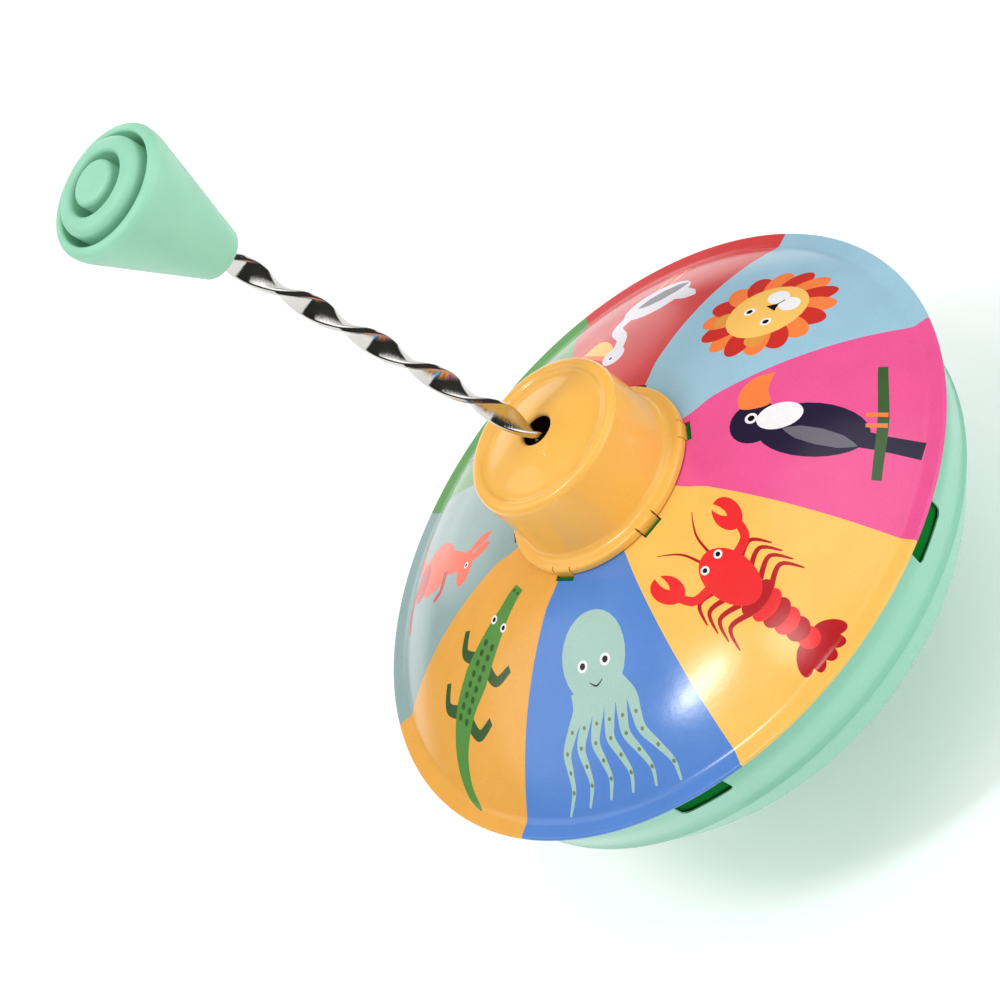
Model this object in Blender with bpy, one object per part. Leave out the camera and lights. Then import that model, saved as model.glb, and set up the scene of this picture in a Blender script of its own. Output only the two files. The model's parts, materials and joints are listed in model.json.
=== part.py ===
"""Pump-action humming top, about 184 mm across, standing upright on its foot.

A twisted steel strip with a plastic handle runs down through the hub of a hollow tinplate
body. Pushing it down turns a friction wheel inside the hub, and the wheel turns the body.
The strip hangs to one side through its play in the hub hole, as it does when nobody holds it.

Units are metres, +Z is up along the body's axis, and the origin is the foot's lowest point.
"""
import bpy
import bmesh
from math import cos, pi, radians, sin, sqrt, tan
from mathutils import Matrix, Vector

MM = 0.001

# ---- driving dimensions ----
RIM_RADIUS = 92.15 * MM
RIM_HEIGHT = 72.0 * MM          # middle of the rolled rim above the foot's point
SHEET = 0.5 * MM                # tinplate of the two shells
HUB_SHEET = 0.6 * MM
GAP = 0.35 * MM                 # between pieces that touch
SIDES = 48                      # facets round the large turned pieces
HUB_SIDES = 24
SMALL_SIDES = 28
PIN_SIDES = 12
RIVET_SIDES = 8

TAB_COUNT = 6                   # hub tabs at 0, 60, 120 ... degrees
SLOT_COUNT = 6                  # air slots and reeds, half way between the tabs
REPEAT = 2 * pi / TAB_COUNT
SLOT_TURN = REPEAT / 2

LEAN = radians(7.45)            # the strip's lean at rest, at its stop in the hub hole
LEAN_AZIMUTH = radians(-143)
PIVOT_HEIGHT = RIM_HEIGHT + 44.5 * MM

STRIP_WIDTH = 6.4 * MM
STRIP_THICKNESS = 2.2 * MM
STRIP_LEAD = 44.6 * MM          # length of one whole turn, left-handed
STRIP_FACE_ON = 64.3 * MM       # distance above the pivot where the strip's flat faces the lean

HANDLE_TOP = 161.2 * MM         # all distances along the strip are from the pivot
HANDLE_BOTTOM = 118.4 * MM
HANDLE_RADIUS = 18.3 * MM

# ---- dome arc of the upper shell, and bowl arc of the lower shell ----
DOME_CENTRE = (16.43 * MM, RIM_HEIGHT - 86.21 * MM)
DOME_RADIUS = 112.3 * MM
CREASE_RADIUS = 87.25 * MM
BEAD = 0.65 * MM                # radius of the rolled rim
BAND_ANGLE = radians(86)        # where the flat band runs onto the bead
BOWL_CENTRE = (39.6 * MM, RIM_HEIGHT - 3.7 * MM)
BOWL_RADIUS = 46.0 * MM
CONE_ANGLE = radians(16)
SHOULDER = (82.9 * MM, RIM_HEIGHT - 20.9 * MM)

# ---- colours: linear red, green, blue ----
MINT = (0.36, 0.69, 0.54)
MINT_SHELL = (0.35, 0.68, 0.52)
YELLOW = (0.86, 0.42, 0.09)
PRINT = (0.80, 0.36, 0.18)
GREEN = (0.01, 0.13, 0.03)
STEEL = (0.62, 0.61, 0.58)
BRASS = (0.70, 0.47, 0.16)
RUBBER = (0.02, 0.02, 0.02)
NYLON = (0.75, 0.73, 0.66)


def dome_height(radius):
    """Height of the upper shell's outer surface over the dome."""
    return DOME_CENTRE[1] + sqrt(DOME_RADIUS ** 2 - (radius - DOME_CENTRE[0]) ** 2)


def clear_scene():
    for old in list(bpy.data.objects):
        bpy.data.objects.remove(old, do_unlink=True)


def make_material(name, colour, roughness, metallic):
    material = bpy.data.materials.new(name)
    material.use_nodes = True
    shader = material.node_tree.nodes["Principled BSDF"]
    shader.inputs["Base Color"].default_value = (*colour, 1)
    shader.inputs["Roughness"].default_value = roughness
    shader.inputs["Metallic"].default_value = metallic
    return material


def arc(centre, radius, start, end, steps):
    """Points on an arc from start to end, both angles in radians from outward horizontal."""
    points = []
    for step in range(steps + 1):
        angle = start + (end - start) * step / steps
        points.append((centre[0] + radius * cos(angle), centre[1] + radius * sin(angle)))
    return points


def offset_inward(points, distance):
    """The same open profile moved to its right-hand side, square to its direction."""
    moved = []
    for i, (radius, height) in enumerate(points):
        before = Vector(points[max(i - 1, 0)])
        after = Vector(points[min(i + 1, len(points) - 1)])
        along = (after - before).normalized()
        moved.append((radius + along.y * distance, height - along.x * distance))
    return moved


def finish_mesh(name, bm, material, location=(0, 0, 0), smooth_angle=35):
    bmesh.ops.remove_doubles(bm, verts=bm.verts, dist=1e-7)
    bmesh.ops.recalc_face_normals(bm, faces=bm.faces)
    mesh = bpy.data.meshes.new(name)
    bm.to_mesh(mesh)
    bm.free()
    mesh.shade_smooth()
    mesh.set_sharp_from_angle(angle=radians(smooth_angle))
    mesh.materials.append(material)
    obj = bpy.data.objects.new(name, mesh)
    obj.location = location
    bpy.context.scene.collection.objects.link(obj)
    return obj


def turned_bmesh(outline, sides):
    """Spin an outline of (radius, height) points round the Z axis.

    An outline whose two ends both lie on the axis makes a solid without a bore. Any other
    outline is closed first, and makes a ring.
    """
    bm = bmesh.new()
    verts = [bm.verts.new((radius, 0, height)) for radius, height in outline]
    edges = [bm.edges.new(pair) for pair in zip(verts, verts[1:])]
    if outline[0][0] > 0 or outline[-1][0] > 0:
        edges.append(bm.edges.new((verts[-1], verts[0])))
    bmesh.ops.spin(bm, geom=verts + edges, cent=(0, 0, 0), axis=(0, 0, 1),
                   angle=2 * pi, steps=sides, use_merge=True)
    bmesh.ops.remove_doubles(bm, verts=bm.verts, dist=1e-7)
    return bm


def turned(name, outline, sides, material, location=(0, 0, 0)):
    return finish_mesh(name, turned_bmesh(outline, sides), material, location)


def add_box(bm, low, high, turn=0.0):
    """A box between two corners, then turned about Z by an angle in radians."""
    size = [b - a for a, b in zip(low, high)]
    middle = [(a + b) / 2 for a, b in zip(low, high)]
    place = Matrix.Rotation(turn, 4, "Z") @ Matrix.Translation(middle) @ Matrix.Diagonal((*size, 1))
    bmesh.ops.create_cube(bm, size=1, matrix=place)


def add_cylinder(bm, radius, low, high, place=Matrix.Identity(4), sides=PIN_SIDES):
    """An upright cylinder between two heights, then placed by a matrix."""
    stand = Matrix.Translation((0, 0, (low + high) / 2))
    bmesh.ops.create_cone(bm, cap_ends=True, segments=sides, radius1=radius, radius2=radius,
                          depth=high - low, matrix=place @ stand)


def cut(obj, cutter_bm, operation="DIFFERENCE"):
    """Cut an object with, or join it to, the bodies in a bmesh, through a Boolean modifier."""
    mesh = bpy.data.meshes.new(obj.name + "_tool")
    bmesh.ops.recalc_face_normals(cutter_bm, faces=cutter_bm.faces)
    cutter_bm.to_mesh(mesh)
    cutter_bm.free()
    tool = bpy.data.objects.new(obj.name + "_tool", mesh)
    tool.matrix_world = obj.matrix_world
    tool.location = obj.location
    tool.rotation_euler = obj.rotation_euler
    tool.parent = obj.parent
    tool.display_type = "WIRE"
    tool.hide_render = True
    bpy.context.scene.collection.objects.link(tool)
    boolean = obj.modifiers.new(operation.lower(), "BOOLEAN")
    boolean.operation = operation
    boolean.solver = "EXACT"
    boolean.object = tool


def around(count, first=0.0):
    """Angles of equally spaced features round the body."""
    return [first + step * 2 * pi / count for step in range(count)]


# ---------------------------------------------------------------- body shells

def upper_shell(material):
    """Printed dome: centre opening, crowned dome, crease, flat band and rolled rim."""
    inner_radius = 22.3 * MM
    dome = []
    steps = 8
    for step in range(steps + 1):
        radius = inner_radius + (CREASE_RADIUS - inner_radius) * step / steps
        dome.append((radius, dome_height(radius)))
    bead_centre = (RIM_RADIUS - BEAD, RIM_HEIGHT)
    curl = arc(bead_centre, BEAD, BAND_ANGLE, radians(-90), 5)
    curl.append((bead_centre[0] - 0.6 * MM, RIM_HEIGHT - BEAD))
    outer = dome + curl
    inner = offset_inward(outer, SHEET)
    shell = turned("upper_shell", outer + inner[::-1], SIDES, material)
    cutter = bmesh.new()
    for angle in around(TAB_COUNT):
        add_box(cutter, (26.9 * MM, -3.2 * MM, RIM_HEIGHT + 15 * MM),
                (29.5 * MM, 3.2 * MM, RIM_HEIGHT + 35 * MM), angle)
    cut(shell, cutter)


def lower_wall():
    """Outer surface of the lower shell from under the rim down to the foot's opening."""
    band = [(89.2 * MM, RIM_HEIGHT - 1.0 * MM), (88.05 * MM, RIM_HEIGHT - 7.4 * MM),
            (85.45 * MM, RIM_HEIGHT - 14.3 * MM), SHOULDER,
            (SHOULDER[0] - 0.45 * MM, SHOULDER[1] - 0.75 * MM),
            (SHOULDER[0] - 1.3 * MM, SHOULDER[1] - 1.35 * MM)]
    bowl = arc(BOWL_CENTRE, BOWL_RADIUS, radians(-25), CONE_ANGLE - radians(90), 6)
    foot_flat = 13.0 * MM
    cone_end = (foot_flat, bowl[-1][1] - (bowl[-1][0] - foot_flat) * tan(CONE_ANGLE))
    return band + bowl + [cone_end, (5.2 * MM, cone_end[1])]


def lower_shell(material):
    """Plain shell: seam flange, slotted band, shoulder, bowl and a flat round the foot."""
    flange_low = RIM_HEIGHT - BEAD
    flange_high = flange_low + SHEET
    wall = lower_wall()
    outer = [(90.4 * MM, flange_low), (89.4 * MM, flange_low)] + wall
    inner = offset_inward(wall, SHEET)
    outline = outer + inner[::-1] + [(88.75 * MM, flange_high), (90.4 * MM, flange_high)]
    shell = turned("lower_shell", outline, SIDES, material)
    cutter = bmesh.new()
    for angle in around(SLOT_COUNT, SLOT_TURN):
        add_slot_cutter(cutter, angle)
    cut(shell, cutter)


def add_slot_cutter(bm, angle):
    """One air slot: a flat block with rounded lower corners that crosses the band's wall."""
    half = 8.0 * MM
    corner = 1.8 * MM
    top = -1.4 * MM
    bottom = -9.1 * MM
    face = [(half, top), (-half, top)]
    for centre, start in ((-half + corner, 180), (half - corner, 270)):
        for step in range(5):
            turn = radians(start + step * 90 / 4)
            face.append((centre + corner * cos(turn), bottom + corner + corner * sin(turn)))
    place = Matrix.Rotation(angle, 4, "Z")
    verts = [bm.verts.new(place @ Vector((80 * MM, y, RIM_HEIGHT + z))) for y, z in face]
    flat = bm.faces.new(verts)
    block = bmesh.ops.extrude_face_region(bm, geom=[flat])
    pushed = [item for item in block["geom"] if isinstance(item, bmesh.types.BMVert)]
    bmesh.ops.translate(bm, verts=pushed, vec=place @ Vector((12 * MM, 0, 0)))


# ---------------------------------------------------------------- hub and drive housing

def hub_outline():
    """Outer surface of the hub cap, from the lip of the hole out to the flange's edge."""
    rim = RIM_HEIGHT
    lip = arc((5.5 * MM, rim + 51.95 * MM), 1.0 * MM, radians(180), radians(80), 3)
    field = [(9.0 * MM, rim + 52.55 * MM), (13.0 * MM, rim + 51.6 * MM),
             (16.6 * MM, rim + 50.3 * MM), (18.5 * MM, rim + 49.8 * MM)]
    bead = arc((21.45 * MM, rim + 48.7 * MM), 2.2 * MM, radians(140), radians(0), 5)
    wall = [(23.8 * MM, rim + 40.0 * MM), (24.05 * MM, rim + 31.0 * MM)]
    fillet = arc((26.45 * MM, rim + 30.6 * MM), 2.4 * MM, radians(195), radians(262), 3)
    edge = arc((27.1 * MM, rim + 27.1 * MM), 0.9 * MM, radians(75), radians(0), 2)
    return lip + field + bead + wall + fillet + edge + [(28.0 * MM, rim + 25.9 * MM)]


def hub_cap(material):
    """Pressed cap over the drive, with bent tabs that hold it and the housing together."""
    outer = hub_outline()
    inner = offset_inward(outer, HUB_SHEET)
    cap = turned("hub_cap", outer + inner[::-1], HUB_SIDES, material)
    notches = bmesh.new()
    tabs = bmesh.new()
    low = RIM_HEIGHT + 22.4 * MM
    for angle in around(TAB_COUNT):
        for side in (-1, 1):
            middle = side * 3.05 * MM
            add_box(notches, (26.9 * MM, middle - 0.2 * MM, RIM_HEIGHT + 25 * MM),
                    (28.6 * MM, middle + 0.2 * MM, RIM_HEIGHT + 29 * MM), angle)
        add_tab(tabs, low, angle)
    cut(cap, notches)
    cut(cap, tabs, "UNION")


def add_tab(bm, low, angle):
    """One tab: down from the flange's edge, then inward under the drive housing."""
    outside = 27.95 * MM
    inside = 24.6 * MM
    top = RIM_HEIGHT + 26.8 * MM
    half = 2.8 * MM
    side = [(outside, top), (outside - HUB_SHEET, top), (outside - HUB_SHEET, low + HUB_SHEET),
            (inside, low + HUB_SHEET), (inside, low), (outside, low)]
    place = Matrix.Rotation(angle, 4, "Z")
    verts = [bm.verts.new(place @ Vector((x, -half, z))) for x, z in side]
    flat = bm.faces.new(verts)
    block = bmesh.ops.extrude_face_region(bm, geom=[flat])
    pushed = [item for item in block["geom"] if isinstance(item, bmesh.types.BMVert)]
    bmesh.ops.translate(bm, verts=pushed, vec=place @ Vector((0, 2 * half, 0)))


def drive_housing(material):
    """Moulded housing: flange under the dome, tower inside the hub, clutch shelf and six ribs.

    Each rib stands up through a slot of the dome, outside a tab of the hub.
    """
    rim = RIM_HEIGHT
    under = SHEET + GAP
    flange_top = [(radius, dome_height(radius) - under)
                  for radius in (31.0 * MM, 26.0 * MM, 21.7 * MM)]
    tower = [(21.7 * MM, rim + 46.3 * MM), (20.2 * MM, rim + 46.3 * MM),
             (20.2 * MM, rim + 38.2 * MM), (12.0 * MM, rim + 38.2 * MM),
             (12.0 * MM, rim + 36.6 * MM), (18.6 * MM, rim + 36.6 * MM),
             (20.0 * MM, rim + 35.2 * MM)]
    foot = [(20.0 * MM, rim + 23.4 * MM), (31.0 * MM, rim + 23.1 * MM)]
    housing = turned("drive_housing", flange_top + tower + foot, SIDES, material)
    cutter = bmesh.new()
    for angle in around(TAB_COUNT):
        add_box(cutter, (26.9 * MM, -3.15 * MM, rim + 15 * MM),
                (28.35 * MM, 3.15 * MM, rim + 35 * MM), angle)
    cut(housing, cutter)
    ribs = bmesh.new()
    for angle in around(TAB_COUNT):
        add_box(ribs, (28.35 * MM, -2.85 * MM, rim + 24.0 * MM),
                (29.15 * MM, 2.85 * MM, rim + 25.15 * MM), angle)
    cut(housing, ribs, "UNION")


def clutch_ring(material):
    """Flat friction ring that lies on the housing's shelf under the drive wheel."""
    low = RIM_HEIGHT + 38.2 * MM + GAP
    high = low + 1.3 * MM
    turned("clutch_ring", [(12.4 * MM, high), (19.6 * MM, high), (19.6 * MM, low), (12.4 * MM, low)],
           SMALL_SIDES, material)


# ---------------------------------------------------------------- drive wheel and slot plate

WHEEL_LOW = PIVOT_HEIGHT - 4.3 * MM
WHEEL_HIGH = PIVOT_HEIGHT + 1.9 * MM
POCKET_LOW = PIVOT_HEIGHT - 1.9 * MM
COVER_LOW = WHEEL_HIGH + GAP
COVER_HIGH = COVER_LOW + 1.0 * MM
SCREW_RING = 12.5 * MM
SCREW_RADIUS = 0.9 * MM
SCREW_COUNT = 3


def cover_screw_places():
    """Where the cover's screws stand round the drive wheel's axis."""
    places = []
    for angle in around(SCREW_COUNT, LEAN_AZIMUTH):
        places.append(Matrix.Translation((SCREW_RING * cos(angle), SCREW_RING * sin(angle), 0)))
    return places


def drive_wheel(material):
    """Friction wheel with a round pocket for the slot plate and a recess for each lug."""
    outline = [(8.0 * MM, WHEEL_HIGH), (17.2 * MM, WHEEL_HIGH), (18.0 * MM, WHEEL_HIGH - 0.8 * MM),
               (18.0 * MM, WHEEL_LOW + 2.0 * MM), (17.2 * MM, WHEEL_LOW), (6.2 * MM, WHEEL_LOW),
               (5.0 * MM, WHEEL_LOW + 1.0 * MM), (5.0 * MM, POCKET_LOW), (8.0 * MM, POCKET_LOW)]
    wheel = turned("drive_wheel", outline, SMALL_SIDES, material)
    cutter = bmesh.new()
    add_box(cutter, (-1.6 * MM, -10.2 * MM, POCKET_LOW), (1.6 * MM, 10.2 * MM, WHEEL_HIGH + 2 * MM),
            LEAN_AZIMUTH)
    for place in cover_screw_places():
        add_cylinder(cutter, SCREW_RADIUS + GAP, WHEEL_HIGH - 3.4 * MM, WHEEL_HIGH + 2 * MM, place)
    cut(wheel, cutter)


def wheel_cover(material):
    """Thin steel cover that keeps the slot plate in its pocket."""
    outline = [(5.2 * MM, COVER_HIGH), (14.6 * MM, COVER_HIGH), (14.6 * MM, COVER_LOW),
               (5.2 * MM, COVER_LOW)]
    cover = turned("wheel_cover", outline, SMALL_SIDES, material)
    cutter = bmesh.new()
    for place in cover_screw_places():
        add_cylinder(cutter, SCREW_RADIUS + GAP, COVER_LOW - 1 * MM, COVER_HIGH + 1 * MM, place)
    cut(cover, cutter)


def cover_screws(material):
    shank = SCREW_RADIUS
    head = 1.7 * MM
    head_low = COVER_HIGH + 0.3 * MM
    low = WHEEL_HIGH - 3.0 * MM
    outline = [(0, low), (shank, low + 0.4 * MM), (shank, head_low), (head, head_low),
               (head, head_low + 0.5 * MM), (0.8 * MM, head_low + 0.9 * MM), (0, head_low + 0.9 * MM)]
    for number, place in enumerate(cover_screw_places(), 1):
        turned(f"cover_screw_{number}", outline, PIN_SIDES, material, place.translation)


def strip_frame():
    """Empty at the pivot: local Z up the strip, local Y the axis on which the strip leans."""
    frame = bpy.data.objects.new("strip_frame", None)
    frame.location = (0, 0, PIVOT_HEIGHT)
    frame.rotation_mode = "XYZ"
    frame.rotation_euler = (0, LEAN, LEAN_AZIMUTH)
    bpy.context.scene.collection.objects.link(frame)
    return frame


def slot_plate(material, frame):
    """Steel plate with the slot that the strip is forced to turn in, hung on two lugs."""
    half = 0.8 * MM
    outline = [(0, half), (7.4 * MM, half), (7.4 * MM, -half), (0, -half)]
    plate = turned("slot_plate", outline, SMALL_SIDES, material)
    plate.parent = frame
    lugs = bmesh.new()
    add_box(lugs, (-1.1 * MM, -9.5 * MM, -half + 0.05 * MM), (1.1 * MM, 9.5 * MM, half - 0.05 * MM))
    cut(plate, lugs, "UNION")
    turn = strip_turn(0)
    slot = bmesh.new()
    add_box(slot, (-STRIP_WIDTH / 2 - 0.3 * MM, -STRIP_THICKNESS / 2 - 0.5 * MM, -2 * MM),
            (STRIP_WIDTH / 2 + 0.3 * MM, STRIP_THICKNESS / 2 + 0.5 * MM, 2 * MM), turn)
    cut(plate, slot)


# ---------------------------------------------------------------- spindle and handle

STRIP_LOW = -5.0 * MM
STRIP_HIGH = 141.0 * MM
NECK_LOW = -11.6 * MM
HEAD_LOW = -13.0 * MM
ANCHOR_HEIGHT = 135.0 * MM


def strip_turn(height):
    """Angle of the strip's width at a height along it; the twist is left-handed."""
    return pi - 2 * pi * (height - STRIP_FACE_ON) / STRIP_LEAD


def spindle(material, frame):
    """Twisted strip with a round neck and a peened head at its lower end."""
    bm = bmesh.new()
    half_width = STRIP_WIDTH / 2
    half_thick = STRIP_THICKNESS / 2
    chamfer = 0.45 * MM
    section = [(half_width, -half_thick + chamfer), (half_width, half_thick - chamfer),
               (half_width - chamfer, half_thick), (-half_width + chamfer, half_thick),
               (-half_width, half_thick - chamfer), (-half_width, -half_thick + chamfer),
               (-half_width + chamfer, -half_thick), (half_width - chamfer, -half_thick)]
    steps = 70
    rings = []
    for step in range(steps + 1):
        height = STRIP_LOW + (STRIP_HIGH - STRIP_LOW) * step / steps
        place = Matrix.Translation((0, 0, height)) @ Matrix.Rotation(strip_turn(height), 4, "Z")
        rings.append([bm.verts.new(place @ Vector((x, y, 0))) for x, y in section])
    for lower, upper in zip(rings, rings[1:]):
        for i in range(len(section)):
            j = (i + 1) % len(section)
            bm.faces.new((lower[i], lower[j], upper[j], upper[i]))
    bm.faces.new(rings[0][::-1])
    bm.faces.new(rings[-1])
    strip = finish_mesh("spindle", bm, material, smooth_angle=50)
    strip.parent = frame
    neck = [(0, HEAD_LOW), (2.4 * MM, HEAD_LOW), (3.2 * MM, HEAD_LOW + 0.5 * MM),
            (3.2 * MM, NECK_LOW), (1.9 * MM, NECK_LOW), (1.9 * MM, STRIP_LOW + 1.0 * MM),
            (0, STRIP_LOW + 1.0 * MM)]
    cut(strip, turned_bmesh(neck, 2 * PIN_SIDES), "UNION")
    hole = bmesh.new()
    add_cylinder(hole, 1.35 * MM, -4 * MM, 4 * MM, anchor_place())
    cut(strip, hole)


def anchor_place():
    """Square to the strip's flat, where the anchor pin crosses it inside the handle."""
    place = Matrix.Translation((0, 0, ANCHOR_HEIGHT))
    place = place @ Matrix.Rotation(strip_turn(ANCHOR_HEIGHT), 4, "Z")
    return place @ Matrix.Rotation(radians(90), 4, "X")


def stop_bush(material, frame):
    """Bush on the strip's neck that meets the wheel when the handle is pulled right up."""
    low = NECK_LOW + GAP
    high = STRIP_LOW - GAP
    outline = [(2.15 * MM, high), (5.6 * MM, high), (6.1 * MM, high - 0.5 * MM),
               (6.1 * MM, low + 0.5 * MM), (5.6 * MM, low), (2.15 * MM, low)]
    bush = turned("stop_bush", outline, 2 * PIN_SIDES, material)
    bush.parent = frame


def handle(material, frame):
    """Conical moulded handle: bore for the strip, and a boss and a ring in its hollowed face."""
    top = HANDLE_TOP
    low = HANDLE_BOTTOM
    bore = 3.6 * MM
    outline = [(0, top), (4.9 * MM, top), (6.0 * MM, top - 0.5 * MM), (6.4 * MM, top - 1.5 * MM),
               (6.4 * MM, top - 13 * MM), (8.6 * MM, top - 13 * MM), (8.8 * MM, top - 1.9 * MM),
               (9.4 * MM, top - 1.0 * MM), (10.4 * MM, top - 0.8 * MM), (12.4 * MM, top - 1.9 * MM),
               (13.3 * MM, top - 3.1 * MM), (13.6 * MM, top - 5.0 * MM), (13.4 * MM, top - 12.5 * MM),
               (15.1 * MM, top - 12.5 * MM), (15.4 * MM, top - 4.7 * MM), (15.9 * MM, top - 3.9 * MM),
               (16.7 * MM, top - 4.1 * MM), (17.6 * MM, top - 5.0 * MM), (HANDLE_RADIUS, top - 6.5 * MM),
               (HANDLE_RADIUS - 0.3 * MM, top - 8.8 * MM), (HANDLE_RADIUS - 0.9 * MM, top - 10.8 * MM),
               (7.1 * MM, low + 1.2 * MM), (6.7 * MM, low + 0.4 * MM), (5.9 * MM, low),
               (bore + 0.4 * MM, low), (bore, low + 0.4 * MM), (bore, STRIP_HIGH + 0.6 * MM),
               (0, STRIP_HIGH + 0.6 * MM)]
    grip = turned("handle", outline, SMALL_SIDES, material)
    grip.parent = frame
    recess = bmesh.new()
    add_cylinder(recess, 1.35 * MM, -5.4 * MM, 5.4 * MM, anchor_place())
    cut(grip, recess)


def anchor_pin(material, frame):
    """Cross pin that fixes the strip inside the handle."""
    bm = bmesh.new()
    add_cylinder(bm, 1.0 * MM, -5.0 * MM, 5.0 * MM, anchor_place())
    finish_mesh("anchor_pin", bm, material).parent = frame


# ---------------------------------------------------------------- sound plate and reeds

PLATE_LOW = RIM_HEIGHT - 19.9 * MM
PLATE_HIGH = RIM_HEIGHT - 18.7 * MM
REED_RADIUS = 72.0 * MM
REED_TAIL = 7.2 * MM            # from the window's middle to the rivet
RIVET_RADIUS = 0.8 * MM


def rivet_place(angle):
    return Matrix.Rotation(angle, 4, "Z") @ Matrix.Translation((REED_RADIUS, REED_TAIL, 0))


def sound_plate(material):
    """Moulded ring: its skirt lines the slotted band and its plate carries the reeds."""
    rim = RIM_HEIGHT
    skirt = [(88.25 * MM, rim - 1.1 * MM), (87.15 * MM, rim - 7.4 * MM),
             (84.5 * MM, rim - 14.3 * MM), (82.3 * MM, PLATE_LOW)]
    inside = [(80.9 * MM, PLATE_HIGH), (83.3 * MM, rim - 14.0 * MM), (85.9 * MM, rim - 7.3 * MM),
              (87.0 * MM, rim - 1.1 * MM)]
    outline = skirt + [(60.0 * MM, PLATE_LOW), (60.0 * MM, PLATE_HIGH)] + inside
    plate = turned("sound_plate", outline, SIDES, material)
    cutter = bmesh.new()
    for angle in around(SLOT_COUNT, SLOT_TURN):
        add_box(cutter, (REED_RADIUS - 2.4 * MM, -5.8 * MM, PLATE_LOW - 1 * MM),
                (REED_RADIUS + 2.4 * MM, 5.2 * MM, PLATE_HIGH + 1 * MM), angle)
        add_cylinder(cutter, RIVET_RADIUS + GAP, PLATE_LOW - 1 * MM, PLATE_HIGH + 1 * MM,
                     rivet_place(angle), RIVET_SIDES)
    cut(plate, cutter)


def reeds(brass):
    """Brass tongue over each window, held at its tail by a rivet."""
    low = PLATE_HIGH + 0.3 * MM
    high = low + 0.4 * MM
    head = 1.5 * MM
    rivet = [(0, PLATE_LOW - 0.9 * MM), (head, PLATE_LOW - 0.9 * MM), (head, PLATE_LOW - 0.3 * MM),
             (RIVET_RADIUS, PLATE_LOW - 0.3 * MM), (RIVET_RADIUS, high + 0.3 * MM),
             (head, high + 0.3 * MM), (head, high + 0.9 * MM), (0, high + 0.9 * MM)]
    for number, angle in enumerate(around(SLOT_COUNT, SLOT_TURN), 1):
        bm = bmesh.new()
        add_box(bm, (REED_RADIUS - 2.0 * MM, -5.4 * MM, low), (REED_RADIUS + 2.0 * MM, 9.2 * MM, high),
                angle)
        reed = finish_mesh(f"reed_{number}", bm, brass)
        hole = bmesh.new()
        add_cylinder(hole, RIVET_RADIUS + GAP, low - 1 * MM, high + 1 * MM, rivet_place(angle),
                     RIVET_SIDES)
        cut(reed, hole)
        turned(f"reed_rivet_{number}", rivet, RIVET_SIDES, brass, rivet_place(angle).translation)


# ---------------------------------------------------------------- foot

def foot(steel, plastic):
    """Moulded ferrule under the shell, washer inside it and a steel pin through both."""
    shell_low = lower_wall()[-1][1]
    top = shell_low - 0.3 * MM
    ferrule = [(2.75 * MM, top), (11.2 * MM, top), (11.6 * MM, top - 0.6 * MM),
               (11.2 * MM, top - 1.8 * MM), (6.4 * MM, top - 4.6 * MM), (4.9 * MM, top - 6.8 * MM),
               (4.3 * MM, top - 7.4 * MM), (2.75 * MM, top - 7.4 * MM)]
    turned("foot_ferrule", ferrule, SMALL_SIDES, plastic)
    inside = shell_low + SHEET + 0.3 * MM
    washer = [(2.75 * MM, inside + 1.0 * MM), (8.6 * MM, inside + 1.0 * MM), (8.6 * MM, inside),
              (2.75 * MM, inside)]
    turned("foot_washer", washer, SMALL_SIDES, steel)
    head = inside + 1.3 * MM
    flat = 1.1 * MM
    nose = [(flat + 1.3 * MM * sin(turn), 1.6 * MM * (1 - cos(turn)))
            for turn in (0, radians(30), radians(60), radians(90))]
    pin = [(0, 0)] + nose + [(2.4 * MM, head), (4.4 * MM, head), (4.4 * MM, head + 0.6 * MM),
                             (3.4 * MM, head + 1.2 * MM), (0, head + 1.2 * MM)]
    turned("foot_pin", pin, SMALL_SIDES, steel)


def build():
    clear_scene()
    mint = make_material("mint_plastic", MINT, 0.45, 0.0)
    green = make_material("green_plastic", GREEN, 0.5, 0.0)
    steel = make_material("bright_steel", STEEL, 0.18, 1.0)
    brass = make_material("brass", BRASS, 0.3, 1.0)
    nylon = make_material("nylon", NYLON, 0.5, 0.0)
    upper_shell(make_material("printed_tin", PRINT, 0.25, 0.0))
    lower_shell(make_material("mint_tin", MINT_SHELL, 0.3, 0.0))
    hub_cap(make_material("yellow_tin", YELLOW, 0.35, 0.0))
    drive_housing(green)
    clutch_ring(make_material("friction_rubber", RUBBER, 0.8, 0.0))
    drive_wheel(nylon)
    wheel_cover(steel)
    cover_screws(steel)
    frame = strip_frame()
    slot_plate(steel, frame)
    spindle(steel, frame)
    stop_bush(nylon, frame)
    handle(mint, frame)
    anchor_pin(steel, frame)
    sound_plate(green)
    reeds(brass)
    foot(steel, mint)


build()
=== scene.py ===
"""Looks of a pump-action humming top: printed tin dome, mint shell, pressed hub, twisted strip, handle.

The CAD frame gives every place. Fine meshes replace the visible tin, plastic and steel pieces, and
the pieces inside keep their CAD meshes with better materials. The printed animals are regions of
the dome's own mesh, so the print follows the metal.

Units are metres, +Z is up along the body's axis, and the foot's point is the origin.
"""
import json
from math import atan2, ceil, cos, hypot, pi, radians, sin, sqrt, tan

import bmesh
import bpy
import numpy as np
from mathutils import Matrix, Vector
from mathutils.geometry import delaunay_2d_cdt


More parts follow.
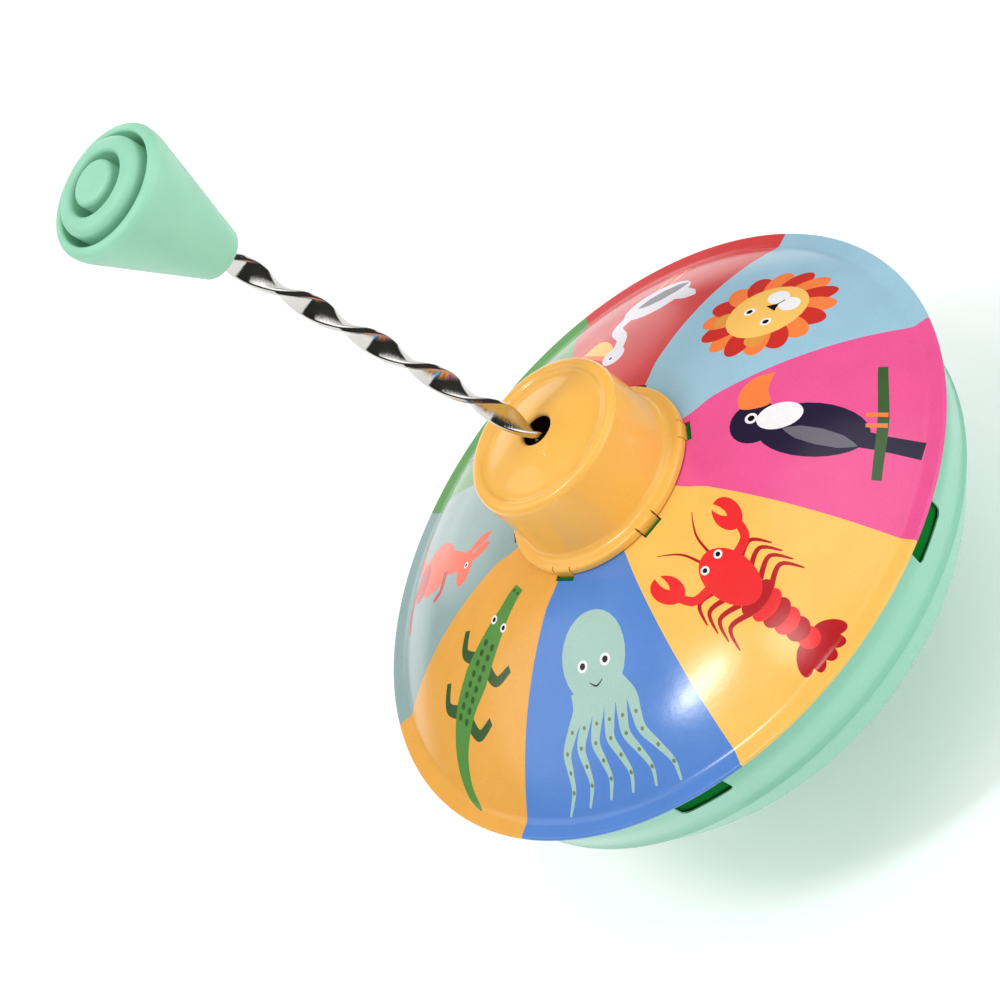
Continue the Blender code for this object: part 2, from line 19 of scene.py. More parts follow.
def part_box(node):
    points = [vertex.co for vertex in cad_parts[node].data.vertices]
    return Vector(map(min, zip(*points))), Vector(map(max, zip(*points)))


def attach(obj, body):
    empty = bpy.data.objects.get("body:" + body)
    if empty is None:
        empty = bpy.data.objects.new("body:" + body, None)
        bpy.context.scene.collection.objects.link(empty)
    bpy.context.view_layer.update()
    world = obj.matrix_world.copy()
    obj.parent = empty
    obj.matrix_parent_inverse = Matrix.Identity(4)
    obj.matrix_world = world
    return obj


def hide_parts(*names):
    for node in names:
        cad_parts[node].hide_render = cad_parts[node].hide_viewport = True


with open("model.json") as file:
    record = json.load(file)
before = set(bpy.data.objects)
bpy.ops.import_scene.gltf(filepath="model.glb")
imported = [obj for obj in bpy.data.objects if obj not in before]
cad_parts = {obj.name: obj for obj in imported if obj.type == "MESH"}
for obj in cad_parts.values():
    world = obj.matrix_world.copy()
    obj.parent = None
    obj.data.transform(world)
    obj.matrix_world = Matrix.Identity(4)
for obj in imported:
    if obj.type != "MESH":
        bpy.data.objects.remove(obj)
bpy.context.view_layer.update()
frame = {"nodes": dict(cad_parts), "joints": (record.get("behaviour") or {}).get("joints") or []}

MM = 0.001

# ---- sizes shared with the CAD ----
BEAD = 0.65 * MM                                  # radius of the rolled rim
RIM_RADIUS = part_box("upper_shell")[1].x
RIM_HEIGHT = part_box("upper_shell")[0].z + BEAD    # middle of the rolled rim
SHEET = 0.5 * MM
HUB_SHEET = 0.6 * MM
DOME_CENTRE = (16.43 * MM, RIM_HEIGHT - 86.21 * MM)
DOME_RADIUS = 112.3 * MM
DOME_HOLE = 22.3 * MM
CREASE_RADIUS = 87.25 * MM
CREASE_WIDTH = 3.0 * MM
BOWL_CENTRE = (39.6 * MM, RIM_HEIGHT - 3.7 * MM)
BOWL_RADIUS = 46.0 * MM
CONE_ANGLE = radians(16)
SHOULDER = (82.9 * MM, RIM_HEIGHT - 20.9 * MM)
REPEATS = 6                                       # hub tabs, air slots
NOTCH = 0.4 * MM                                  # width of the cut on each side of a hub tab
HANDLE_TOP = 161.2 * MM                           # along the strip from its pivot
HANDLE_BOTTOM = 118.4 * MM
HANDLE_RADIUS = 18.3 * MM
STRIP_WIDTH = 6.4 * MM
STRIP_THICKNESS = 2.2 * MM
STRIP_LEAD = 44.6 * MM
STRIP_FACE_ON = 64.3 * MM
STRIP_LOW = -5.0 * MM
STRIP_HIGH = 141.0 * MM

# ---- fineness ----
SIDES = 240
SMALL_SIDES = 120
SKIN_STEPS = 1200                                 # rows of the table of the skin's heights
STRIP_STEPS = 260
TOP_SPACING = 2.6 * MM                            # between the rings of the dome's plan
UNDER_SPACING = 8 * MM

# ---- panels of the print, as the angles where each one starts ----
FIRST_PANEL = radians(10.5)
PANEL_TURN = radians(45)
PRINT_OFFSET = Vector((-0.4 * MM, 1.5 * MM))      # how far the print sits off the dome's axis
PRINT_START = (30 * MM, 38 * MM)                  # the offset fades in between these radii


# ---- meshes ----

def new_object(name, data):
    obj = bpy.data.objects.new(name, data)
    bpy.context.scene.collection.objects.link(obj)
    return obj


def in_mm(points, base=0.0):
    """Profile points given in millimetres, with their heights counted from a base in metres."""
    return [(radius * MM, base + height * MM) for radius, height in points]


def arc(centre, radius, start, end, steps):
    """Points on an arc between two angles in degrees, counted from outward horizontal."""
    points = []
    for step in range(steps + 1):
        angle = radians(start + (end - start) * step / steps)
        points.append((centre[0] + radius * cos(angle), centre[1] + radius * sin(angle)))
    return points


def offset_inward(points, distance):
    """The same open profile moved to its right-hand side, square to its direction."""
    moved = []
    for i, (radius, height) in enumerate(points):
        before = Vector(points[max(i - 1, 0)])
        after = Vector(points[min(i + 1, len(points) - 1)])
        along = (after - before).normalized()
        moved.append((radius + along.y * distance, height - along.x * distance))
    return moved


def finish_mesh(name, bm, material, smooth_angle=30):
    bmesh.ops.remove_doubles(bm, verts=bm.verts, dist=1e-7)
    bmesh.ops.recalc_face_normals(bm, faces=bm.faces)
    mesh = bpy.data.meshes.new(name)
    bm.to_mesh(mesh)
    bm.free()
    mesh.shade_smooth()
    mesh.set_sharp_from_angle(angle=radians(smooth_angle))
    mesh.materials.append(material)
    return new_object(name, mesh)


def turned_bmesh(outline, sides):
    """Spin an outline of (radius, height) points; ends off the axis are joined into a ring."""
    bm = bmesh.new()
    verts = [bm.verts.new((radius, 0, height)) for radius, height in outline]
    edges = [bm.edges.new(pair) for pair in zip(verts, verts[1:])]
    if outline[0][0] > 0 or outline[-1][0] > 0:
        edges.append(bm.edges.new((verts[-1], verts[0])))
    bmesh.ops.spin(bm, geom=verts + edges, cent=(0, 0, 0), axis=(0, 0, 1),
                   angle=2 * pi, steps=sides, use_merge=True)
    bmesh.ops.remove_doubles(bm, verts=bm.verts, dist=1e-7)
    return bm


def cut(obj, cutter_bm, operation="DIFFERENCE"):
    """Cut an object with the bodies in a bmesh, or join it to them, and apply the result."""
    mesh = bpy.data.meshes.new("tool")
    bmesh.ops.recalc_face_normals(cutter_bm, faces=cutter_bm.faces)
    cutter_bm.to_mesh(mesh)
    cutter_bm.free()
    tool = new_object("tool", mesh)
    boolean = obj.modifiers.new("cut", "BOOLEAN")
    boolean.operation = operation
    boolean.solver = "EXACT"
    boolean.object = tool
    depsgraph = bpy.context.evaluated_depsgraph_get()
    result = bpy.data.meshes.new_from_object(obj.evaluated_get(depsgraph), depsgraph=depsgraph)
    obj.modifiers.clear()
    obj.data = result
    bpy.data.objects.remove(tool)


def sharpen(obj, smooth_angle=30):
    obj.data.shade_smooth()
    obj.data.set_sharp_from_angle(angle=radians(smooth_angle))


def stand_for(obj, body, slot, *nodes):
    """Ride a body and replace the CAD nodes that the piece stands for; the slot is not used."""
    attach(obj, body)
    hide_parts(*nodes)
    return obj


def extruded(bm, flat_points, vector, place=Matrix.Identity(4)):
    """A closed block: a flat outline of 3-D points pushed along a vector, then placed."""
    verts = [bm.verts.new(place @ Vector(point)) for point in flat_points]
    face = bm.faces.new(verts)
    block = bmesh.ops.extrude_face_region(bm, geom=[face])
    pushed = [item for item in block["geom"] if isinstance(item, bmesh.types.BMVert)]
    bmesh.ops.translate(bm, verts=pushed, vec=place.to_3x3() @ Vector(vector))


def around(first=0.0):
    return [first + step * 2 * pi / REPEATS for step in range(REPEATS)]


# ---- drawing on the panels ----
# A panel's drawing uses millimetres: u to the right of its middle line, v outward from the axis.

def smooth(points, closed=True, steps=6):
    """A smooth curve through the points; a point given twice makes a corner."""
    count = len(points)
    curve = []
    for i in range(count if closed else count - 1):
        if closed:
            a, b, c, d = (np.array(points[(i + k) % count], float) for k in (-1, 0, 1, 2))
        else:
            ends = (min(max(i + k, 0), count - 1) for k in (-1, 0, 1, 2))
            a, b, c, d = (np.array(points[end], float) for end in ends)
        if np.allclose(b, c):
            continue
        for step in range(steps):
            t = step / steps
            point = 0.5 * (2 * b + (c - a) * t + (2 * a - 5 * b + 4 * c - d) * t ** 2
                           + (3 * b - a - 3 * c + d) * t ** 3)
            curve.append(tuple(point))
    if not closed:
        curve.append(tuple(points[-1]))
    return curve


def oval(u, v, half_u, half_v, turn=0, steps=28):
    points = []
    for step in range(steps):
        angle = 2 * pi * step / steps
        x, y = half_u * cos(angle), half_v * sin(angle)
        c, s = cos(radians(turn)), sin(radians(turn))
        points.append((u + x * c - y * s, v + x * s + y * c))
    return points


def side_points(line, widths, side):
    """Points beside a line, at half of a width that changes evenly between the given widths."""
    points = []
    for i, (u, v) in enumerate(line):
        before = line[max(i - 1, 0)]
        after = line[min(i + 1, len(line) - 1)]
        du, dv = after[0] - before[0], after[1] - before[1]
        length = hypot(du, dv) or 1
        half = np.interp(i / (len(line) - 1) * (len(widths) - 1), range(len(widths)), widths) / 2
        points.append((u - side * dv / length * half, v + side * du / length * half))
    return points


def ribbon(points, widths, steps=6):
    """A stroke along a smooth line, as wide along its length as the widths say."""
    line = smooth(points, closed=False, steps=steps)
    return side_points(line, widths, 1) + side_points(line, widths, -1)[::-1]


def leaf(start, end, width, bend=0.0):
    """A shape with two pointed ends; bend moves its middle to one side."""
    (u0, v0), (u1, v1) = start, end
    middle = ((u0 + u1) / 2 - (v1 - v0) * bend, (v0 + v1) / 2 + (u1 - u0) * bend)
    return ribbon([start, middle, end], [0.05, width * 0.8, width, width * 0.8, 0.05])


def eye(u, v, size):
    """An eye: a white disc with a black one in it."""
    return [("white", oval(u, v, size, size)), ("black", oval(u, v, size * 0.55, size * 0.55))]


def lobster():
    """Seen from above, the same on both sides."""
    art = []
    for side in (-1, 1):
        for row in range(4):
            v = 58 + 3.4 * row
            leg = [(side * 4, v), (side * 10, v - 2), (side * 13, v + 3)]
            art.append(("crimson", ribbon(leg, [1.5, 1.2, 0.4])))
        art.append(("crimson", ribbon([(side * 1.5, 50), (side * 3, 43), (side * 7, 37)], [0.8, 0.6, 0.2])))
        art.append(("red", ribbon([(side * 4, 56), (side * 10, 54.5), (side * 12, 50)], [2.6, 2.4, 2.2])))
        art.append(("red", oval(side * 12, 46, 3.6, 5.4, side * 12)))
        art.append(("sunflower", leaf((side * 11, 40), (side * 11.6, 46.5), 1.8)))
    for turn in (-56, -28, 28, 56, 0):
        art.append(("crimson", oval(6 * sin(radians(turn)), 82 + 4 * cos(radians(turn)), 2, 4, -turn)))
    for row in range(5, -1, -1):
        art.append(("red" if row % 2 else "crimson", oval(0, 67 + 3 * row, 5.4 - 0.5 * row, 2.6)))
    art.append(("red", oval(0, 58, 6.2, 9.6)))
    return art + eye(-2.6, 51.6, 1.2) + eye(2.6, 51.6, 1.2)


def octopus():
    """A round head over six arms that hang in even waves."""
    art = []
    for number in range(6):
        middle = number - 2.5
        line = []
        for step in range(7):
            line.append((middle * (2.6 + 0.75 * step) + 1.3 * sin(step * 1.6), 60 + 4.2 * step))
        art.append(("seafoam", ribbon(line, [4.0, 3.2, 2.6, 1.6, 0.6])))
        for u, v in line[2:6]:
            art.append(("olive", oval(u, v, 0.5, 0.5)))
    art.append(("seafoam", oval(0, 52, 10, 12)))
    art.append(("black", ribbon([(-2, 58.6), (0, 59.8), (2, 58.6)], [0.2, 0.5, 0.2])))
    return art + eye(-3.6, 54, 1.6) + eye(3.6, 54, 1.6)


def crocodile():
    """Seen from above, with its tail swung to one side."""
    art = []
    for side in (-1, 1):
        for v in (57, 71):
            leg = [(side * 3, v), (side * 9, v + 1), (side * 12, v - 4)]
            art.append(("pine", ribbon(leg, [3.4, 2.8, 2.2])))
    body = [(0, 35), (0, 43), (0, 51), (0, 61), (0, 70), (3, 79), (9, 85), (16, 87)]
    art.append(("leaf_green", ribbon(body, [3.6, 5.0, 8.0, 11.0, 9.0, 6.0, 3.2, 0.4])))
    for row in range(8):
        for side in (-1, 1):
            art.append(("pine", oval(side * 1.7, 52 + 2.8 * row, 0.9, 0.9)))
    for side in (-1, 1):
        art.append(("pine", oval(side * 0.9, 36.6, 0.5, 0.5)))
        art += eye(side * 2.6, 46, 1.2)
    return art


def toucan():
    """Upright on a bar, facing right."""
    art = [("navy", ribbon([(-4, 68), (-7, 78), (-9, 87)], [6.4, 4.6, 5.4]))]
    art.append(("pine", ribbon([(-18, 77), (0, 78.4), (18, 77)], [2.2, 2.6, 2.2])))
    art.append(("navy", oval(-2, 62, 8.4, 14, 12)))
    art.append(("navy", oval(2.4, 47.4, 6.6, 6.6)))
    art.append(("white", oval(3.4, 54, 4.2, 6, -10)))
    beak = [(7.4, 43.6), (13, 42.8), (17.4, 46), (18.6, 51.6), (18.6, 51.6), (13, 50.4), (7.6, 51)]
    art.append(("tangerine", smooth(beak)))
    art.append(("slate", leaf((-1, 55), (-8, 73), 5)))
    for u in (-1.6, 1.8):
        art.append(("tangerine", ribbon([(u, 74.6), (u, 79.4)], [1.2, 1.4])))
    return art + eye(3.8, 46.6, 1.7)


def lion():
    """A face in a ring of even tufts."""
    art = []
    for step in range(16):
        turn = 360 * step / 16
        ink = "brick" if step % 2 else "tangerine"
        art.append((ink, oval(11.5 * sin(radians(turn)), 62 - 11.5 * cos(radians(turn)), 3.6, 6.2, turn)))
    for side in (-1, 1):
        art.append(("honey", oval(side * 7.6, 53.6, 2.8, 2.8)))
    art.append(("butter", oval(0, 62, 10.4, 10.8)))
    for side in (-1, 1):
        art.append(("white", oval(side * 2.6, 67.2, 3.2, 2.7)))
        art += eye(side * 4, 59.4, 1.5)
    art.append(("black", [(-2, 63.2), (2, 63.2), (0, 65.8)]))
    art.append(("black", ribbon([(0, 65.4), (0, 67.6)], [0.4, 0.4])))
    return art


def pelican():
    """Standing, facing right."""
    art = []
    for u in (-4, 0):
        art.append(("tangerine", ribbon([(u, 72), (u, 83)], [1.2, 1.2])))
        art.append(("tangerine", leaf((u - 1, 83.4), (u + 4.4, 83.8), 2)))
    art.append(("cloud", leaf((-7, 67), (-18, 61), 5)))
    art.append(("cloud", oval(-3, 66, 10.4, 7.4, -10)))
    art.append(("cloud", ribbon([(3, 63), (6.4, 57), (2.4, 51), (2.6, 45)], [5.4, 3.8, 3.4, 4.4])))
    art.append(("butter", smooth([(5, 44), (17, 51), (17, 51), (11, 54), (5, 49)])))
    art.append(("tangerine", ribbon([(5, 43.8), (17.4, 51)], [1.8, 0.8])))
    art.append(("cloud", oval(3, 44, 3.8, 3.4)))
    art.append(("slate", leaf((3, 65), (-12, 70), 6)))
    return art + eye(3.8, 43.4, 1.0)


def kangaroo():
    """Side view, facing right."""
    art = [("coral", ribbon([(-4, 73), (-12, 79), (-19, 79), (-22, 75)], [5.0, 3.4, 2.2, 0.8]))]
    for u in (2.2, 5.4):
        art.append(("coral", leaf((u + 2, 47), (u, 38), 3)))
    art.append(("coral", ribbon([(0, 62), (6, 50)], [9.0, 5.0])))
    art.append(("coral", oval(-1, 66, 7.4, 11, 20)))
    art.append(("coral", oval(8.4, 49, 5.2, 3.4, 20)))
    art.append(("brick", oval(-2.4, 75, 5.6, 5)))
    art.append(("brick", ribbon([(-4, 80), (3, 82.4), (9, 82)], [2.6, 2.6, 1.6])))
    art.append(("brick", ribbon([(4, 59), (9, 61), (10, 65)], [2.4, 2.0, 1.4])))
    return art + eye(8, 48.2, 0.9)


def elephant():
    art = []
    for u in (-9.0, -3.4, 5.6, 11.2):
        art.append(("slate_blue", ribbon([(u, 66.0), (u, 81.0)], [6.0, 4.8, 5.4])))
        art.append(("white", oval(u, 81.6, 2.0, 0.8)))
    art.append(("slate_blue", ribbon([(14.0, 60.0), (17.4, 64.0), (17.2, 70.0)], [1.4, 0.9, 0.9])))
    art.append(("navy", oval(17.1, 71.2, 1.2, 1.9)))
    body = [(-8, 54.4), (0, 52), (9, 53), (14.4, 58.4), (14.4, 67), (8, 72.6), (-4, 72.6), (-11, 67)]
    art.append(("slate_blue", smooth(body)))
    art.append(("slate_blue", oval(-9.4, 52.8, 7.2, 7.6)))
    trunk = [(-13.4, 55), (-17.2, 61), (-17.6, 68.6), (-20.6, 71.4)]
    art.append(("slate_blue", ribbon(trunk, [7.0, 4.4, 3.2, 2.2])))
    art.append(("white", leaf((-11.6, 58.8), (-15.0, 66.4), 2.0, -0.16)))
    art.append(("rose", oval(-5.2, 52.4, 5.0, 6.2, 12)))
    art.append(("slate", ribbon([(-8.6, 47.6), (-1.2, 46.4), (0.0, 54.0), (-4.0, 59.2)], [0.4, 0.5, 0.4])))
    art.append(("white", oval(-12.6, 50.8, 1.1, 1.1)))
    art.append(("black", oval(-12.8, 50.8, 0.6, 0.65)))
    return art


# Panels in turn from FIRST_PANEL, each with its ink and its drawing.
PANELS = (("sky", lion), ("scarlet", pelican), ("grass", elephant), ("sage", kangaroo), ("amber", crocodile),
          ("cobalt", octopus), ("sunflower", lobster), ("magenta", toucan))
SPOKES_PER_PANEL = SIDES // len(PANELS)

# Printing inks as display red, green and blue from 0 to 255.
INKS = {
    "sky": (158, 198, 217), "scarlet": (214, 66, 66), "grass": (96, 160, 82), "sage": (150, 176, 174),
    "amber": (240, 174, 78), "cobalt": (88, 136, 210), "sunflower": (253, 196, 96),
    "magenta": (238, 88, 150), "red": (240, 44, 46), "crimson": (186, 22, 30), "rose": (240, 130, 160),
    "coral": (246, 106, 72), "brick": (208, 48, 40), "tangerine": (252, 132, 66),
    "butter": (254, 200, 104), "honey": (232, 156, 70), "white": (246, 244, 246),
    "cloud": (228, 224, 232), "black": (22, 14, 16), "navy": (38, 28, 58), "slate": (110, 106, 118),
    "slate_blue": (112, 128, 160), "seafoam": (166, 201, 190), "olive": (122, 132, 96),
    "leaf_green": (92, 148, 70), "pine": (62, 96, 54),
}


def linear(display):
    """Display values from 0 to 255 as linear light."""
    values = []
    for value in display:
        share = value / 255
        values.append(share / 12.92 if share <= 0.04045 else ((share + 0.055) / 1.055) ** 2.4)
    return tuple(values)


# ---- materials ----

def node_material(name, build):
    """A material whose Principled shader is fed by the nodes that build adds."""
    material = bpy.data.materials.new(name)
    material.use_nodes = True
    tree = material.node_tree
    build(tree, tree.nodes["Principled BSDF"])
    return material


def noise(tree, scale, detail=2.0, stretch=(1, 1, 1)):
    """Noise in the object's own space, at so many grains a metre."""
    place = tree.nodes.new("ShaderNodeTexCoord")
    mapping = tree.nodes.new("ShaderNodeMapping")
    mapping.inputs["Scale"].default_value = stretch
    texture = tree.nodes.new("ShaderNodeTexNoise")
    texture.inputs["Scale"].default_value = scale
    texture.inputs["Detail"].default_value = detail
    tree.links.new(place.outputs["Object"], mapping.inputs["Vector"])
    tree.links.new(mapping.outputs["Vector"], texture.inputs["Vector"])
    return texture.outputs["Fac"]


def ranged(tree, value, low, high, from_low=0.3, from_high=0.7):
    """A value mapped from the middle of its range onto another range."""
    node = tree.nodes.new("ShaderNodeMapRange")
    node.inputs["From Min"].default_value = from_low
    node.inputs["From Max"].default_value = from_high
    node.inputs["To Min"].default_value = low
    node.inputs["To Max"].default_value = high
    tree.links.new(value, node.inputs["Value"])
    return node.outputs["Result"]


def blended(tree, share, first, second, kind="MIX"):
    """Two colours, or a socket and a colour, mixed by a share that a socket or a number gives."""
    node = tree.nodes.new("ShaderNodeMix")
    node.data_type = "RGBA"
    node.blend_type = kind
    for socket, value in ((node.inputs[0], share), (node.inputs[6], first), (node.inputs[7], second)):
        if isinstance(value, bpy.types.NodeSocket):
            tree.links.new(value, socket)
        elif isinstance(value, tuple):
            socket.default_value = (*value, 1)
        else:
            socket.default_value = value
    return node.outputs[2]


def bump(tree, shader, height, strength, distance):
    """Fine relief; the distance is its depth in metres."""
    node = tree.nodes.new("ShaderNodeBump")
    node.inputs["Strength"].default_value = strength
    node.inputs["Distance"].default_value = distance
    tree.links.new(height, node.inputs["Height"])
    tree.links.new(node.outputs["Normal"], shader.inputs["Normal"])


def lacquer(colour, name, roughness=0.2, grain=0.04, coat=0.0, glow=0.0):
    """Glossy paint on sheet metal: slight mottle and uneven gloss."""
    dark = tuple(c * (1 - grain) for c in colour)

    def build(tree, shader):
        mottle = ranged(tree, noise(tree, 900, 3), 0, 1)
        tree.links.new(blended(tree, mottle, dark, colour), shader.inputs["Base Color"])
        gloss = ranged(tree, noise(tree, 60, 3), roughness * 0.85, roughness * 1.2)
        tree.links.new(gloss, shader.inputs["Roughness"])
        shader.inputs["Coat Weight"].default_value = coat
        shader.inputs["Coat Roughness"].default_value = 0.08
        # glow makes the surface shine by itself: painted light that no lamp gives
        shader.inputs["Emission Color"].default_value = (1, 1, 1, 1)
        shader.inputs["Emission Strength"].default_value = glow
    return node_material(name, build)


def printed_tin():
    """Ink under lacquer: the ink comes from the mesh, with a fine print grain over it."""
    def build(tree, shader):
        ink = tree.nodes.new("ShaderNodeAttribute")
        ink.attribute_name = "ink"
        grain = ranged(tree, noise(tree, 2600, 2), 0.93, 1.03)
        mottle = ranged(tree, noise(tree, 90, 3), 0.97, 1.03)
        both = tree.nodes.new("ShaderNodeMath")
        both.operation = "MULTIPLY"
        tree.links.new(grain, both.inputs[0])
        tree.links.new(mottle, both.inputs[1])
        grey = tree.nodes.new("ShaderNodeCombineColor")
        for channel in ("Red", "Green", "Blue"):
            tree.links.new(both.outputs[0], grey.inputs[channel])
        colour = blended(tree, 1.0, ink.outputs["Color"], grey.outputs["Color"], "MULTIPLY")
        tree.links.new(colour, shader.inputs["Base Color"])
        gloss = ranged(tree, noise(tree, 45, 3), 0.17, 0.23)
        tree.links.new(gloss, shader.inputs["Roughness"])
        bump(tree, shader, noise(tree, 420, 2), 0.05, 0.0004)
    return node_material("printed_tin", build)


def moulded(colour, name, roughness=0.45, soft=0.12, grain=500, shine=0.5):
    """Moulded plastic: soft sheen, a little light let in, fine moulding texture and swirl."""
    pale = tuple(min(c * 1.06 + 0.01, 1) for c in colour)
    dark = tuple(c * 0.93 for c in colour)

    def build(tree, shader):
        swirl = ranged(tree, noise(tree, 55, 4, (1, 1, 0.35)), 0, 1)
        tree.links.new(blended(tree, swirl, dark, pale), shader.inputs["Base Color"])
        tree.links.new(ranged(tree, noise(tree, 140, 3), roughness * 0.85, roughness * 1.15),
                       shader.inputs["Roughness"])
        shader.inputs["Specular IOR Level"].default_value = shine
        shader.inputs["Subsurface Weight"].default_value = soft
        shader.inputs["Subsurface Radius"].default_value = (0.5, 1.0, 0.8)
        shader.inputs["Subsurface Scale"].default_value = 0.002
        bump(tree, shader, noise(tree, grain, 3), 0.12, 0.0005)
    return node_material(name, build)


def metal(colour, name, roughness=0.12, scratch=(1, 1, 6)):
    """Plated or polished metal with faint drawn scratches and uneven polish."""
    dark = tuple(c * 0.86 for c in colour)

    def build(tree, shader):
        shader.inputs["Metallic"].default_value = 1.0
        stain = ranged(tree, noise(tree, 160, 4), 0, 1)
        tree.links.new(blended(tree, stain, dark, colour), shader.inputs["Base Color"])
        tree.links.new(ranged(tree, noise(tree, 300, 4, scratch), roughness * 0.7, roughness * 1.5),
                       shader.inputs["Roughness"])
        bump(tree, shader, noise(tree, 700, 3, scratch), 0.08, 0.0004)
    return node_material(name, build)


def rubber():
    def build(tree, shader):
        dust = ranged(tree, noise(tree, 300, 4), 0, 1)
        tree.links.new(blended(tree, dust, (0.012, 0.012, 0.012), (0.035, 0.034, 0.032)),
                       shader.inputs["Base Color"])
        shader.inputs["Roughness"].default_value = 0.85
        bump(tree, shader, noise(tree, 900, 4), 0.3, 0.0003)
    return node_material("friction_rubber", build)


def make_materials():
    return {
        "print": printed_tin(),
        "bare_tin": metal((0.60, 0.60, 0.58), "bare_tin", 0.3),
        "mint_tin": lacquer(linear((146, 208, 182)), "mint_tin", 0.22),
        "yellow_tin": lacquer(linear((253, 190, 84)), "yellow_tin", 0.32, 0.03, 0.4),
        "mint": moulded(linear((153, 214, 184)), "mint_plastic"),
        "green": moulded(linear((2, 108, 36)), "green_plastic", 0.5, 0.0, shine=0.0),
        "steel": metal((0.66, 0.65, 0.62), "bright_steel", 0.08),
        "brass": metal((0.72, 0.50, 0.20), "brass", 0.25),
        "nylon": moulded((0.72, 0.70, 0.62), "nylon", 0.5, 0.1),
        "rubber": rubber(),
    }


# ---- printed dome ----

def smooth_share(value):
    share = min(max(value, 0.0), 1.0)
    return share * share * (3 - 2 * share)


BAND_ANGLE = 86            # where the flat band runs onto the bead, in degrees round the bead
BAND_SLOPE = 1 / tan(radians(BAND_ANGLE))
SKIN_END = RIM_RADIUS - BEAD + BEAD * cos(radians(BAND_ANGLE))


def skin_slope(radius):
    """How steeply the outer skin falls: a round dome, a soft crease and a straight band."""
    reach = radius - DOME_CENTRE[0]
    crown = reach / sqrt(DOME_RADIUS ** 2 - reach ** 2)
    share = smooth_share((radius - CREASE_RADIUS) / CREASE_WIDTH + 0.5)
    return crown + (BAND_SLOPE - crown) * share


def skin_table():
    """Radii and heights of the outer skin, summed outward from the dome's hole."""
    radii = np.linspace(DOME_HOLE, SKIN_END, SKIN_STEPS)
    slopes = np.array([skin_slope(radius) for radius in radii])
    start = DOME_CENTRE[1] + sqrt(DOME_RADIUS ** 2 - (DOME_HOLE - DOME_CENTRE[0]) ** 2)
    drops = (slopes[1:] + slopes[:-1]) / 2 * np.diff(radii)
    return radii, start - np.concatenate([[0], np.cumsum(drops)])


SKIN_RADII, SKIN_HEIGHTS = skin_table()


def skin_height(radius):
    return float(np.interp(radius, SKIN_RADII, SKIN_HEIGHTS))


def skin_normal(x, y):
    radius = hypot(x, y)
    slope = skin_slope(min(max(radius, DOME_HOLE), SKIN_END))
    return Vector((slope * x / radius, slope * y / radius, 1)).normalized()


def spoke_angle(step):
    return FIRST_PANEL + 2 * pi * step / SIDES


def spoke_number(co):
    """Which of the plan's spokes a point of the dome lies on."""
    return round((atan2(co.y, co.x) - FIRST_PANEL) / (2 * pi) * SIDES) % SIDES


def ring_points(radius):
    return [(radius * cos(spoke_angle(step)), radius * sin(spoke_angle(step))) for step in range(SIDES)]


def inside(points, outline):
    """Which of the points lie inside a closed outline, by its winding number."""
    winding = np.zeros(len(points), int)
    x, y = points[:, 0], points[:, 1]
    for (x0, y0), (x1, y1) in zip(outline, outline[1:] + outline[:1]):
        side = (x1 - x0) * (y - y0) - (x - x0) * (y1 - y0)
        winding += ((y0 <= y) & (y < y1) & (side > 0)).astype(int)
        winding -= ((y1 <= y) & (y < y0) & (side < 0)).astype(int)
    return winding != 0


def offset_share(radius):
    low, high = PRINT_START
    return smooth_share((radius - low) / (high - low))


def on_panel(outline, number):
    """A drawing's outline in the plan of the dome, in metres, with the print's outward offset."""
    turn = FIRST_PANEL + (number + 0.5) * PANEL_TURN
    c, s = cos(turn), sin(turn)
    outward = 0.5 * (PRINT_OFFSET.x * c + PRINT_OFFSET.y * s) / MM
    placed = []
    for u, v in outline:
        v += outward * offset_share(v * MM)
        placed.append(((v * c - u * s) * MM, (v * s + u * c) * MM))
    return placed


def slide_round(co):
    """Turn a point of the dome about the axis by the sideways part of the print's offset."""
    radius = hypot(co.x, co.y)
    angle = atan2(co.y, co.x)
    sideways = PRINT_OFFSET.y * cos(angle) - PRINT_OFFSET.x * sin(angle)
    angle += sideways * offset_share(radius) / radius
    co.x, co.y = radius * cos(angle), radius * sin(angle)


def tab_slots():
    """The slot outside each hub tab, as an outline in the plan."""
    slots = []
    for angle in around():
        c, s = cos(angle), sin(angle)
        corners = ((26.9, -3.2), (29.5, -3.2), (29.5, 3.2), (26.9, 3.2))
        slots.append([((x * c - y * s) * MM, (x * s + y * c) * MM) for x, y in corners])
    return slots


def ring_radii(outer_radius, spacing):
    """Radii of the plan's rings: even ones, and close ones over the crease."""
    crease = [CREASE_RADIUS + step * CREASE_WIDTH / 8 for step in range(-4, 5)]
    count = ceil((outer_radius - DOME_HOLE) / spacing)
    even = [DOME_HOLE + (outer_radius - DOME_HOLE) * step / count for step in range(count)]
    kept = [radius for radius in even if abs(radius - CREASE_RADIUS) > CREASE_WIDTH * 0.8]
    return sorted(kept + crease) + [outer_radius]


